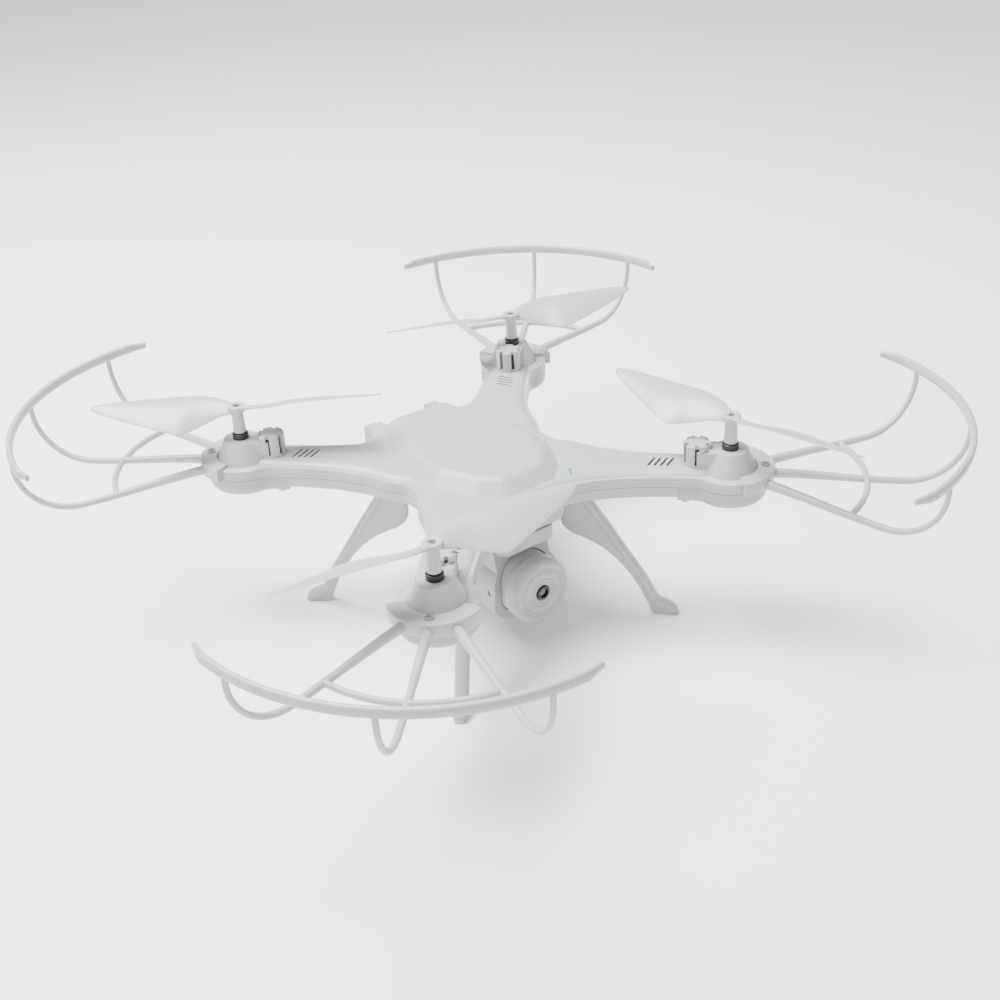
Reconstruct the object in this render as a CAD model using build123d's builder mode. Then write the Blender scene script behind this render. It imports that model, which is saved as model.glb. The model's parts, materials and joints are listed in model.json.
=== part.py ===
"""A toy-class quadcopter with propeller guards, landing legs and a tilting camera.

Frame: the origin is on the ground below the centre of the airframe, +Z is up,
the nose and its camera face -Y and the battery door is at the tail, +Y.
All sizes are in millimetres.
"""
from build123d import *
from math import cos, pi, radians, sin, sqrt
import os

os.makedirs("parts", exist_ok=True)

# ---------------------------------------------------------------- driving sizes
motor_diagonal = 225.0        # one rotor axis to the opposite one
boss_top = 89.0               # top of the rotor bosses above the ground
wall = 1.4                    # moulded shell wall
fit_gap = 0.3                 # between pieces that move past each other
seat_gap = 0.05               # between pieces that sit inside one another
running_gap = 0.04            # radial clearance of a shaft in its bush

seam_drop = 14.4              # these drops are measured down from the boss tops
pod_brim_drop = 9.6
arm_top_drop = 7.6
arm_bottom_drop = 21.0
pod_bottom_drop = 23.0
belly_drop = 33.0
tail_floor_drop = 25.0
tail_roof_drop = 13.4         # floor of the finger recess over the battery door

arm_half_width = 11.0
pod_radius = 17.0
boss_top_radius = 8.0
boss_foot_radius = 12.5
nose_y = -44.0
tail_y = 67.0
belly_half = 19.0
deck_rise = 6.0               # deck above the arm tops
shoulder_round = 6.0          # rounding along the top of arms and body

propeller_radius = 67.0
propeller_rise = 14.0         # underside of the blade roots above the boss tops
post_radius = 3.0
collar_radius = 3.75
collar_height = 2.8
shaft_radius = 1.0

gear_module = 0.5
gear_teeth = 50
pinion_teeth = 8
gear_thickness = 2.6
motor_radius = 4.0
motor_length = 16.0
tower_radius = 6.2
tower_rise = 3.0              # top of the motor towers above the boss tops

guard_radius = 101.0          # rotor axis to the centre line of the rim
guard_rim_rise = 15.0
guard_half_angle = 45.0
guard_finger_angle = 33.0
guard_rod = 3.2               # diameter of the fingers
guard_band = 3.1              # thickness of the band that wraps the pod
guard_screw_reach = 15.6      # guard screw to rotor axis

leg_thickness = 6.6
leg_inner = 36.0              # root of each leg under its arm, from the centre
leg_outer = 46.0
camera_drop = 60.0            # camera axis below the boss tops
camera_radius = 16.0
pivot_y = -28.0
battery_length = 45.0
battery_width = 24.0
battery_height = 7.2
screw_radius = 1.0
screw_head_radius = 1.9
head_recess = 1.0             # screw heads sit this deep in the underside

# ---------------------------------------------------------------- derived sizes
arm_reach = motor_diagonal / 2
seam_z = boss_top - seam_drop
brim_z = boss_top - pod_brim_drop
arm_top = boss_top - arm_top_drop
arm_bottom = boss_top - arm_bottom_drop
pod_bottom = boss_top - pod_bottom_drop
belly_z = boss_top - belly_drop
tail_floor = boss_top - tail_floor_drop
tail_roof = boss_top - tail_roof_drop
deck_top = arm_top + deck_rise
gear_distance = gear_module * (gear_teeth + pinion_teeth) / 2
tower_reach = arm_reach - gear_distance
tower_top = boss_top + tower_rise
camera_z = boss_top - camera_drop
cover_reach = tower_reach - tower_radius - 2.0

corners = {"rear_right": 45.0, "rear_left": 135.0, "front_left": 225.0, "front_right": 315.0}
four_arms = {"radius": arm_reach, "count": 4, "start_angle": 45}


def save(piece, name):
    """Label one finished piece and write its STEP file."""
    piece.label = name
    export_step(piece, f"parts/{name}.step")


# ---------------------------------------------------------------- airframe plan
body_corners = [
    (-14, nose_y), (14, nose_y), (30, -32), (38, -12), (39, 12), (33, 32), (21, 50), (21, tail_y),
    (-21, tail_y), (-21, 50), (-33, 32), (-39, 12), (-38, -12), (-30, -32),
]
arm_flare = [(18, 27), (41, 21.5), (52, 16.4), (64, 13.4), (78, arm_half_width + 0.8)]
root_round = 8.5              # rounding of the hollow corners between arms and body


def arm_corners(reach):
    """Corners of one flared arm along +X, as far as the given reach."""
    edge = arm_flare + [(reach, arm_half_width)]
    return [(x, -y) for x, y in edge] + edge[::-1]


# The spine is the body with four round-ended arms; the full plan adds the pods.
with BuildSketch() as spine_plan:
    Polygon(*body_corners, align=None)
    with PolarLocations(0, 4, start_angle=45):
        Polygon(*arm_corners(tower_reach), align=None)
    with PolarLocations(tower_reach, 4, start_angle=45):
        Circle(arm_half_width)
    offset(amount=root_round)
    offset(amount=-root_round)

with BuildSketch() as plan:
    Polygon(*body_corners, align=None)
    with PolarLocations(0, 4, start_angle=45):
        Polygon(*arm_corners(arm_reach), align=None)
    with PolarLocations(**four_arms):
        Circle(pod_radius)
    offset(amount=root_round)
    offset(amount=-root_round)

with BuildSketch() as cavity_plan:
    add(plan.sketch)
    offset(amount=-wall, mode=Mode.REPLACE)

# The deck is the raised middle of the top shell.
deck_corners = [
    (-13, -39), (13, -39), (24, -28), (33, -8), (34, 14), (25, 38), (20, 58),
    (-20, 58), (-25, 38), (-34, 14), (-33, -8), (-24, -28),
]
with BuildSketch() as deck_plan:
    Polygon(*deck_corners, align=None)
    fillet(deck_plan.vertices(), 11)

# ---------------------------------------------------------------- motor tower
slot_width = 2.0
slot_depth = 9.5
with BuildPart() as tower:
    with Locations((tower_reach, 0, seam_z)):
        Cylinder(tower_radius, tower_top - seam_z, align=(Align.CENTER, Align.CENTER, Align.MIN))
    chamfer(tower.faces().sort_by(Axis.Z)[-1].edges(), 0.5)
    with Locations((tower_reach, 0, 0)):
        with PolarLocations(tower_radius, 6, start_angle=30):
            with Locations((0, 0, tower_top - slot_depth)):
                Box(2 * (tower_radius - motor_radius) - 0.6, slot_width, slot_depth + 1,
                    align=(Align.CENTER, Align.CENTER, Align.MIN), mode=Mode.SUBTRACT)

# ---------------------------------------------------------------- top shell
ceiling_z = brim_z - wall     # inside of the shell over the arms and pods
deck_ceiling = deck_top - 2 * wall
deck_inset = 9.5              # deck outline to the hollow beneath it
recess_y = 50.0
recess_half = 14.0
deck_slope = 50.0             # flank of the deck away from upright
with BuildPart() as top_shell:
    with BuildSketch(Plane.XY.offset(seam_z)):
        add(spine_plan.sketch)
    extrude(amount=arm_top - seam_z)
    fillet(top_shell.faces().sort_by(Axis.Z)[-1].edges(), shoulder_round)
    with BuildSketch(Plane.XY.offset(seam_z)):
        add(plan.sketch)
    extrude(amount=brim_z - seam_z)
    with BuildSketch(Plane.XY.offset(arm_top - 0.6)):
        add(deck_plan.sketch)
    extrude(amount=deck_rise + 0.6, taper=deck_slope)
    fillet(top_shell.faces().sort_by(Axis.Z)[-1].edges(), 6)
    # finger recess at the tail, between two raised corners
    with BuildSketch(Plane.YZ):
        Polygon((recess_y, arm_top + 0.2), (tail_y - 3, tail_roof), (tail_y + 1, tail_roof),
                (tail_y + 1, deck_top + 5), (recess_y, deck_top + 5), align=None)
    extrude(amount=recess_half, both=True, mode=Mode.SUBTRACT)
    # boss over each prop shaft, and its bridge to the motor tower
    for angle in corners.values():
        add(tower.part.rotate(Axis.Z, angle))
    with PolarLocations(**four_arms):
        with Locations((0, 0, brim_z)):
            Cone(boss_foot_radius, boss_top_radius, pod_brim_drop,
                 align=(Align.CENTER, Align.CENTER, Align.MIN))
        with Locations((-gear_distance / 2, 0, seam_z + wall)):
            Box(gear_distance, 2 * tower_radius - 0.4, seam_drop - wall,
                align=(Align.CENTER, Align.CENTER, Align.MIN))
    # hollow inside
    with BuildSketch(Plane.XY.offset(seam_z)):
        add(cavity_plan.sketch)
        with PolarLocations(tower_reach, 4, start_angle=45):
            Circle(tower_radius, mode=Mode.SUBTRACT)
    extrude(amount=ceiling_z - seam_z, mode=Mode.SUBTRACT)
    with BuildSketch(Plane.XY.offset(ceiling_z - 1)):
        offset(deck_plan.sketch, amount=-deck_inset)
    extrude(amount=deck_ceiling - ceiling_z + 1, mode=Mode.SUBTRACT)
    with PolarLocations(**four_arms):
        with Locations((0, 0, ceiling_z - 0.1)):
            Cone(boss_foot_radius - wall - 1, boss_top_radius - wall, pod_brim_drop,
                 align=(Align.CENTER, Align.CENTER, Align.MIN), mode=Mode.SUBTRACT)
        with Locations((0, 0, boss_top)):
            Cylinder(2.5, 8, mode=Mode.SUBTRACT)
    with PolarLocations(tower_reach, 4, start_angle=45):
        with Locations((0, 0, seam_z - 1)):
            Cylinder(motor_radius + seat_gap, tower_top - wall - seam_z + 1,
                     align=(Align.CENTER, Align.CENTER, Align.MIN), mode=Mode.SUBTRACT)
    # floor and side walls of the finger recess
    with BuildSketch(Plane.YZ):
        Polygon((recess_y, arm_top + 0.2), (tail_y - 3, tail_roof), (tail_y, tail_roof), (tail_y, seam_z),
                (tail_y - 4, seam_z), (recess_y, arm_top - 1.6), align=None)
    extrude(amount=recess_half + wall, both=True)
    with Locations((recess_half + wall / 2, 0, 0), (-recess_half - wall / 2, 0, 0)):
        with Locations((0, (recess_y + tail_y) / 2, seam_z)):
            Box(wall, tail_y - recess_y, ceiling_z + 0.4 - seam_z, align=(Align.CENTER, Align.CENTER, Align.MIN))

# ---------------------------------------------------------------- top shell details
vent_length = 8.5
vent_width = 1.1
vent_pitch = 2.8
vent_reach = tower_reach - 16
led_x = 22.0
led_y = -38.0
led_turn = 60.0
led_length = 6.0
led_width = 1.4
arm_post_reach = 62.0         # case screws, one under each arm
cover_post_reach = tower_reach - 4.6
cover_post_side = 7.5         # two screws hold each pod cover
post_bore = screw_radius
board_width = 34.0
board_length = 34.0
board_y = -6.0
board_thickness = 1.2
board_z = ceiling_z - 1.4
board_inset = 5.0
arm_posts = {"radius": arm_post_reach, "count": 4, "start_angle": 45}
cover_posts = [(cover_post_reach, -cover_post_side), (cover_post_reach, cover_post_side)]

with BuildPart() as vents:
    with BuildSketch(Plane.XY.offset(brim_z - 2)):
        with Locations((vent_reach, 0)):
            with GridLocations(vent_pitch, 1, 4, 1):
                SlotOverall(vent_length, vent_width, rotation=70)
    extrude(amount=pod_brim_drop)

with BuildPart() as cover_post_pair:
    with Locations(*[(x, y, pod_bottom + wall) for x, y in cover_posts]):
        Cylinder(2, ceiling_z - pod_bottom, align=(Align.CENTER, Align.CENTER, Align.MIN))
        Cylinder(post_bore, 9, align=(Align.CENTER, Align.CENTER, Align.MIN), mode=Mode.SUBTRACT)

with BuildPart() as top_case:
    add(top_shell.part)
    for angle in corners.values():
        add(vents.part.rotate(Axis.Z, angle), mode=Mode.SUBTRACT)
        add(cover_post_pair.part.rotate(Axis.Z, angle))
    with PolarLocations(**arm_posts):
        with Locations((0, 0, arm_bottom + wall)):
            Cylinder(2.6, ceiling_z - arm_bottom, align=(Align.CENTER, Align.CENTER, Align.MIN))
            Cylinder(post_bore, 8, align=(Align.CENTER, Align.CENTER, Align.MIN), mode=Mode.SUBTRACT)
    with Locations((0, board_y, board_z + board_thickness)):
        with GridLocations(board_width - board_inset, board_length - board_inset, 2, 2):
            Cylinder(1.9, deck_ceiling + 0.4 - board_z - board_thickness,
                     align=(Align.CENTER, Align.CENTER, Align.MIN))
            Cylinder(post_bore, 5, align=(Align.CENTER, Align.CENTER, Align.MIN), mode=Mode.SUBTRACT)
    with PolarLocations(arm_reach + guard_screw_reach, 4, start_angle=45):
        with Locations((0, 0, ceiling_z - 1)):
            Cylinder(post_bore, 4, align=(Align.CENTER, Align.CENTER, Align.MIN), mode=Mode.SUBTRACT)
    with BuildSketch(Plane.XY.offset(ceiling_z - 0.5)):
        with Locations(Location((led_x, led_y), led_turn)):
            SlotOverall(led_length + 2 * seat_gap, led_width + 2 * seat_gap)
    extrude(amount=pod_brim_drop, mode=Mode.SUBTRACT)
save(top_case.part, "top_shell")

with BuildPart() as led_lens:
    with BuildSketch(Plane.XY.offset(ceiling_z)):
        with Locations(Location((led_x, led_y), led_turn)):
            SlotOverall(led_length, led_width)
    extrude(amount=arm_top - ceiling_z - 0.2)
save(led_lens.part, "led_indicator")

# ---------------------------------------------------------------- bottom shell
belly_side = [(nose_y + 2, seam_z), (nose_y + 6, belly_z + 3), (nose_y + 12, belly_z), (30, belly_z),
              (tail_y, tail_floor), (tail_y, seam_z)]
belly_inside = [(nose_y + 4, seam_z + 1), (nose_y + 8, belly_z + 4), (nose_y + 13, belly_z + wall),
                (30, belly_z + wall), (tail_y + 1, tail_floor + wall), (tail_y + 1, seam_z + 1)]
door_half = 13.4
door_thickness = 1.6
door_low = tail_floor + wall
door_high = seam_z - 1.2
hinge_radius = 1.0
hinge_pin_radius = 0.5
hinge_y = tail_y - hinge_radius
hinge_z = door_low + hinge_radius + fit_gap
battery_low = tail_floor + wall + 0.4
battery_y = tail_y - door_thickness - 1 - battery_length / 2
leg_tab = (4.0, 4.0, 3.4)     # tab on each leg root that snaps through the arm floor
leg_tab_reach = 41.0
switch_y = -4.0
switch_travel = 3.0
knob_length = 4.5
knob_width = 2.4

with BuildPart() as belly:
    with BuildSketch(Plane.YZ):
        Polygon(*belly_side, align=None)
    extrude(amount=belly_half, both=True)
    lower_edges = [e for e in belly.edges() if (e @ 0.5).Z < seam_z - 3 and (e @ 0.5).Y < tail_y - 1]
    fillet(lower_edges, 4)

with BuildPart() as bottom_shell:
    with BuildSketch(Plane.XY.offset(seam_z)):
        add(spine_plan.sketch)
    extrude(amount=arm_bottom - seam_z)
    fillet(bottom_shell.faces().sort_by(Axis.Z)[0].edges(), 4)
    add(belly.part)
    # the pod covers close the arm ends
    with BuildSketch(Plane.XY.offset(seam_z)):
        with PolarLocations(cover_reach + arm_reach, 4, start_angle=45):
            Rectangle(2 * arm_reach, arm_reach)
    extrude(amount=arm_bottom - seam_z, mode=Mode.SUBTRACT)
    # hollow arms and belly
    with BuildSketch(Plane.XY.offset(seam_z)):
        add(cavity_plan.sketch)
        with PolarLocations(cover_reach + arm_reach - wall, 4, start_angle=45):
            Rectangle(2 * arm_reach, arm_reach, mode=Mode.SUBTRACT)
    extrude(amount=arm_bottom + wall - seam_z, mode=Mode.SUBTRACT)
    with BuildSketch(Plane.YZ):
        Polygon(*belly_inside[:4], (tail_y - 2.5, tail_floor + wall), (tail_y - 2.5, seam_z + 1), align=None)
    extrude(amount=belly_half - wall, both=True, mode=Mode.SUBTRACT)
    # battery doorway
    with Locations((0, tail_y, (door_low + door_high) / 2)):
        Box(2 * door_half, 12, door_high - door_low, mode=Mode.SUBTRACT)
    with Locations(Location((0, hinge_y, hinge_z), (0, 90, 0))):
        Cylinder(hinge_pin_radius + running_gap, 2 * door_half + 3, mode=Mode.SUBTRACT)
    # ribs that carry the battery
    with Locations((0, battery_y - battery_length / 4, belly_z + 1), (0, battery_y + battery_length / 4, belly_z + 5)):
        Box(battery_width + 6, wall, battery_low - belly_z - 1, align=(Align.CENTER, Align.CENTER, Align.MIN))
    with Locations((0, battery_y, battery_low)):
        Box(battery_width + 2 * seat_gap, battery_length, 20, align=(Align.CENTER, Align.CENTER, Align.MIN),
            mode=Mode.SUBTRACT)
    # case screw holes, leg slots and the slot of the power switch
    with PolarLocations(**arm_posts):
        Cylinder(screw_radius + seat_gap, 4 * arm_bottom, mode=Mode.SUBTRACT)
        with Locations((0, 0, arm_bottom)):
            Cylinder(screw_head_radius + 0.1, 2 * head_recess, mode=Mode.SUBTRACT)
    with PolarLocations(leg_tab_reach, 4, start_angle=45):
        with Locations((0, 0, arm_bottom)):
            Box(leg_tab[0] + 2 * seat_gap, leg_tab[1] + 2 * seat_gap, 4, mode=Mode.SUBTRACT)
    with Locations((switch_travel / 2, switch_y, belly_z)):
        Box(knob_length + switch_travel + 2 * fit_gap, knob_width + 2 * fit_gap, 4, mode=Mode.SUBTRACT)
save(bottom_shell.part, "bottom_shell")


# ---------------------------------------------------------------- pod covers
bush_radius = 2.4
bush_length = 2.4
with BuildPart() as pod_cover:
    with BuildSketch(Plane.XY.offset(seam_z)) as cover_plan:
        with Locations((arm_reach, 0)):
            Circle(pod_radius)
        with Locations(((cover_reach + arm_reach) / 2, 0)):
            Rectangle(arm_reach - cover_reach, 2 * arm_half_width)
        fillet([v for v in cover_plan.vertices() if v.X > cover_reach + 1], 6)
    extrude(amount=pod_bottom - seam_z)
    fillet(pod_cover.faces().sort_by(Axis.Z)[0].edges().filter_by(lambda e: (e @ 0.5).X > cover_reach + 0.5), 4.5)
    with BuildSketch(Plane.XY.offset(seam_z)):
        offset(cover_plan.sketch, amount=-wall)
        with Locations((cover_reach, 0)):
            Rectangle(2 * wall, 4 * arm_half_width, mode=Mode.SUBTRACT)
    extrude(amount=pod_bottom + wall - seam_z, mode=Mode.SUBTRACT)
    with Locations((arm_reach, 0, pod_bottom)):
        Cylinder(bush_radius + 1.2, wall + bush_length, align=(Align.CENTER, Align.CENTER, Align.MIN))
        with Locations((0, 0, wall)):
            Cylinder(bush_radius, bush_length + 1, align=(Align.CENTER, Align.CENTER, Align.MIN),
                     mode=Mode.SUBTRACT)
    with Locations(*[(x, y, pod_bottom) for x, y in cover_posts]):
        Cylinder(screw_radius + seat_gap, 4 * wall, mode=Mode.SUBTRACT)
        Cylinder(screw_head_radius + 0.1, 2 * head_recess, mode=Mode.SUBTRACT)

with BuildPart() as bush:
    with Locations((arm_reach, 0, pod_bottom + wall)):
        Cylinder(bush_radius, bush_length, align=(Align.CENTER, Align.CENTER, Align.MIN))
        Cylinder(shaft_radius + running_gap, bush_length, align=(Align.CENTER, Align.CENTER, Align.MIN),
                 mode=Mode.SUBTRACT)

with BuildPart() as collar:
    with Locations((arm_reach, 0, boss_top)):
        Cylinder(collar_radius, collar_height, align=(Align.CENTER, Align.CENTER, Align.MIN))
        Cylinder(2.5, 3.5, align=(Align.CENTER, Align.CENTER, Align.MAX))
        Cylinder(shaft_radius + running_gap, 20, mode=Mode.SUBTRACT)
    fillet(collar.faces().sort_by(Axis.Z)[-1].edges().sort_by(SortBy.LENGTH)[-1], 0.6)

# ---------------------------------------------------------------- gear train
gear_z = pod_bottom + wall + bush_length + fit_gap


def gear_outline(teeth, outer, root, tip_width, root_width, phase):
    """Straight-flanked teeth round a gear, as corner points."""
    corners_xy = []
    for i in range(teeth):
        middle = 2 * pi * i / teeth + phase
        for radius, width in ((root, -root_width), (outer, -tip_width), (outer, tip_width), (root, root_width)):
            angle = middle + width / 2 / radius
            corners_xy.append((radius * cos(angle), radius * sin(angle)))
    return corners_xy


pitch_radius = gear_module * gear_teeth / 2
pinion_pitch_radius = gear_module * pinion_teeth / 2
with BuildPart() as main_gear:
    with BuildSketch(Plane.XY.offset(gear_z)):
        with Locations((arm_reach, 0)):
            Polygon(*gear_outline(gear_teeth, pitch_radius + 0.9 * gear_module, pitch_radius - 1.2 * gear_module,
                                  0.32, 0.9, 0), align=None)
    extrude(amount=gear_thickness)
    with Locations((arm_reach, 0, gear_z + gear_thickness)):
        Cylinder(2.6, 3.0, align=(Align.CENTER, Align.CENTER, Align.MIN))
        with PolarLocations(7.2, 5):
            Cylinder(2.4, 4 * gear_thickness, mode=Mode.SUBTRACT)
        Cylinder(shaft_radius, 40, mode=Mode.SUBTRACT)

motor_top = tower_top - wall
motor_bottom = motor_top - motor_length
pinion_length = 3.2
with BuildPart() as pinion:
    with BuildSketch(Plane.XY.offset(gear_z - 0.2)):
        with Locations((tower_reach, 0)):
            Polygon(*gear_outline(pinion_teeth, pinion_pitch_radius + 0.9 * gear_module,
                                  pinion_pitch_radius - 1.2 * gear_module, 0.32, 0.8, pi / pinion_teeth), align=None)
    extrude(amount=pinion_length)
    with Locations((tower_reach, 0, gear_z)):
        Cylinder(0.5, motor_bottom + 6 - gear_z, align=(Align.CENTER, Align.CENTER, Align.MIN))

with BuildPart() as motor:
    with Locations((tower_reach, 0, motor_bottom)):
        Cylinder(motor_radius, motor_length, align=(Align.CENTER, Align.CENTER, Align.MIN))
    fillet(motor.edges(), 0.5)
    with Locations((tower_reach, 0, motor_bottom)):
        Cylinder(1.5, 0.8, align=(Align.CENTER, Align.CENTER, Align.MAX))
        Cylinder(0.5 + running_gap, 14, mode=Mode.SUBTRACT)

# ---------------------------------------------------------------- propellers
shaft_top = boss_top + propeller_rise - 4
with BuildPart() as shaft:
    with Locations((arm_reach, 0, pod_bottom + wall + 0.2)):
        Cylinder(shaft_radius, shaft_top - pod_bottom - wall - 0.2, align=(Align.CENTER, Align.CENTER, Align.MIN))

# each row: radius, leading edge offset and rise, trailing edge offset and rise, thickness
blade_stations = [
    (1.5, -3.2, 15.7, 3.2, 13.9, 2.6),
    (9.0, -6.6, 17.6, 4.2, 12.4, 2.0),
    (17.0, -7.9, 18.8, 8.6, 10.4, 1.7),
    (25.5, -7.7, 19.2, 13.6, 9.8, 1.5),
    (31.0, -7.3, 19.3, 12.6, 10.9, 1.4),
    (45.0, -6.4, 19.3, 7.8, 13.4, 1.2),
    (60.0, -5.2, 19.2, 2.0, 16.2, 1.0),
    (propeller_radius, -3.6, 18.9, -1.4, 17.9, 0.8),
]
screw_seat = boss_top + propeller_rise + 1.2
with BuildPart() as blade:
    for station, lead, lead_rise, trail, trail_rise, thick in blade_stations:
        edge = 0.25 * thick
        middle = (lead + trail) / 2
        crown = (lead_rise + trail_rise) / 2 + 0.06 * (trail - lead)
        with BuildSketch(Plane(origin=(station, 0, boss_top), x_dir=(0, 1, 0), z_dir=(1, 0, 0))):
            with BuildLine():
                ThreePointArc((lead, lead_rise + edge), (middle, crown + thick / 2), (trail, trail_rise + edge))
                Line((trail, trail_rise + edge), (trail, trail_rise - edge))
                ThreePointArc((trail, trail_rise - edge), (middle, crown - thick / 2), (lead, lead_rise - edge))
                Line((lead, lead_rise - edge), (lead, lead_rise + edge))
            make_face()
    loft()

with BuildPart() as rotor:
    with Locations((0, 0, boss_top + collar_height + fit_gap)):
        Cone(post_radius, post_radius - 0.4, propeller_rise - collar_height - fit_gap - 0.5,
             align=(Align.CENTER, Align.CENTER, Align.MIN))
    with Locations((0, 0, boss_top + propeller_rise - 0.6)):
        Cylinder(3.7, 4.2, align=(Align.CENTER, Align.CENTER, Align.MIN))
    fillet(rotor.faces().sort_by(Axis.Z)[-1].edges(), 0.8)
    add(blade.part)
    add(blade.part.rotate(Axis.Z, 180))
    with Locations((0, 0, shaft_top)):
        Cylinder(shaft_radius, 40, align=(Align.CENTER, Align.CENTER, Align.MAX), mode=Mode.SUBTRACT)
    with Locations((0, 0, screw_seat)):
        Cylinder(1.7, 10, align=(Align.CENTER, Align.CENTER, Align.MIN), mode=Mode.SUBTRACT)
        Cylinder(0.7, screw_seat - shaft_top, align=(Align.CENTER, Align.CENTER, Align.MAX), mode=Mode.SUBTRACT)

with BuildPart() as prop_screw:
    with Locations((arm_reach, 0, screw_seat)):
        Cylinder(1.6, 1.2, align=(Align.CENTER, Align.CENTER, Align.MIN))
        Cylinder(0.7, screw_seat - shaft_top - 0.3, align=(Align.CENTER, Align.CENTER, Align.MAX))
        with Locations((0, 0, 1.2)):
            Box(2.0, 0.45, 0.8, mode=Mode.SUBTRACT)
            Box(0.45, 2.0, 0.8, mode=Mode.SUBTRACT)

# direction of turn and resting angle of each propeller, seen from above
rotors = {
    "front_left": (1, -7.0),
    "rear_right": (1, -19.0),
    "front_right": (-1, 99.5),
    "rear_left": (-1, 146.0),
}
for corner, (turn, rest) in rotors.items():
    angle = corners[corner]
    place = (arm_reach * cos(radians(angle)), arm_reach * sin(radians(angle)), 0)
    drawn = mirror(rotor.part, about=Plane.XZ) if turn > 0 else rotor.part
    save(drawn.rotate(Axis.Z, rest).moved(Location(place)), f"propeller_{corner}")
    save(prop_screw.part.rotate(Axis.Z, angle), f"propeller_screw_{corner}")
    save(shaft.part.rotate(Axis.Z, angle), f"prop_shaft_{corner}")
    save(main_gear.part.rotate(Axis.Z, angle), f"main_gear_{corner}")
    save(pinion.part.rotate(Axis.Z, angle), f"motor_pinion_{corner}")
    save(motor.part.rotate(Axis.Z, angle), f"motor_{corner}")
    save(pod_cover.part.rotate(Axis.Z, angle), f"pod_cover_{corner}")

save(Compound([collar.part.rotate(Axis.Z, a) for a in corners.values()]), "shaft_collars")
save(Compound([bush.part.rotate(Axis.Z, a) for a in corners.values()]), "shaft_bushes")


# ---------------------------------------------------------------- propeller guards
rim_z = boss_top + guard_rim_rise
rim_width = 3.0
rim_height = 4.4
finger_root_z = boss_top - 12.0
finger_low_z = boss_top - 14.4
curl_reach = guard_radius - 25.0
tie_reach = 60.0
band_inner = pod_radius + seat_gap
band_outer = pod_radius + guard_band + seat_gap
band_half_angle = 70.0
plate_top = brim_z + 1.6

with BuildPart() as guard:
    # band round the outside of the pod with a flat plate on top of its brim
    with BuildSketch(Plane.XZ) as band_profile:
        Polygon((boss_foot_radius + 0.5, brim_z), (band_inner, brim_z), (band_inner, seam_z + 0.4),
                (band_outer, seam_z + 0.4), (band_outer, plate_top), (boss_foot_radius - 0.2, plate_top), align=None)
    revolve(axis=Axis.Z, revolution_arc=2 * band_half_angle)
band_turned = guard.part.rotate(Axis.Z, -band_half_angle)

with BuildPart() as guard_frame:
    with BuildLine(Plane.XY.offset(rim_z)) as rim_line:
        CenterArc((0, 0), guard_radius, -guard_half_angle, 2 * guard_half_angle)
    with BuildSketch(Plane(origin=rim_line.line @ 0, z_dir=rim_line.line % 0, x_dir=(0, 0, 1))):
        Ellipse(rim_height / 2, rim_width / 2)
    sweep(path=rim_line.line)
    for angle in (-guard_half_angle, guard_half_angle):
        with Locations((guard_radius * cos(radians(angle)), guard_radius * sin(radians(angle)), rim_z)):
            Sphere(rim_width / 2)
    for angle in (-guard_finger_angle, 0, guard_finger_angle):
        outward = Plane(origin=(0, 0, 0), x_dir=(cos(radians(angle)), sin(radians(angle)), 0),
                        z_dir=(sin(radians(angle)), -cos(radians(angle)), 0))
        with BuildLine(outward) as finger_line:
            straight = Line((band_outer - 1.5, finger_root_z), (curl_reach, finger_low_z))
            TangentArc(straight @ 1, (guard_radius, rim_z), tangent=straight % 1)
        with BuildSketch(Plane(origin=finger_line.line @ 0, z_dir=finger_line.line % 0)):
            Circle(guard_rod / 2)
        sweep(path=finger_line.line)
    with BuildLine(Plane.XY.offset(boss_top - 13.7)) as tie_line:
        CenterArc((0, 0), tie_reach, -guard_finger_angle, 2 * guard_finger_angle)
    with BuildSketch(Plane(origin=tie_line.line @ 0, z_dir=tie_line.line % 0)):
        Circle(guard_rod / 2 - 0.1)
    sweep(path=tie_line.line)
    add(band_turned)
    with Locations((guard_screw_reach, 0, 0)):
        Cylinder(screw_radius, 400, mode=Mode.SUBTRACT)
guard_part = guard_frame.part.moved(Location((arm_reach, 0, 0)))
for corner, angle in corners.items():
    save(guard_part.rotate(Axis.Z, angle), f"propeller_guard_{corner}")

# ---------------------------------------------------------------- landing legs
with BuildPart() as leg:
    with BuildSketch(Plane.XZ) as leg_side:
        with BuildLine():
            outer = Spline((leg_outer, arm_bottom), (53.3, boss_top - 32.5), (60.9, boss_top - 44.3),
                           (68.2, boss_top - 57.6), (75.3, boss_top - 70.2), (82.0, boss_top - 81.6))
            toe = Spline(outer @ 1, (86.5, boss_top - 83.4), (91.2, boss_top - 86.3), (91.0, 0.6),
                         (88.6, 0), tangents=(outer % 1, (-1, 0)))
            sole = Line(toe @ 1, (78.6, 0))
            inner = Spline(sole @ 1, (75.3, boss_top - 81.0), (69.2, boss_top - 69.0), (62.0, boss_top - 58.6),
                           (54.0, boss_top - 51.4), (46.5, boss_top - 47.6), (leg_inner + 4, boss_top - 45.0))
            Line(inner @ 1, (leg_inner, boss_top - 42.0))
            Line((leg_inner, boss_top - 42.0), (leg_inner, arm_bottom))
            Line((leg_inner, arm_bottom), outer @ 0)
        make_face()
    extrude(amount=leg_thickness / 2, both=True)
    with Locations((leg_tab_reach, 0, arm_bottom)):
        Box(*leg_tab, align=(Align.CENTER, Align.CENTER, Align.MIN))
for corner, angle in corners.items():
    save(leg.part.rotate(Axis.Z, angle), f"landing_leg_{corner}")

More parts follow.
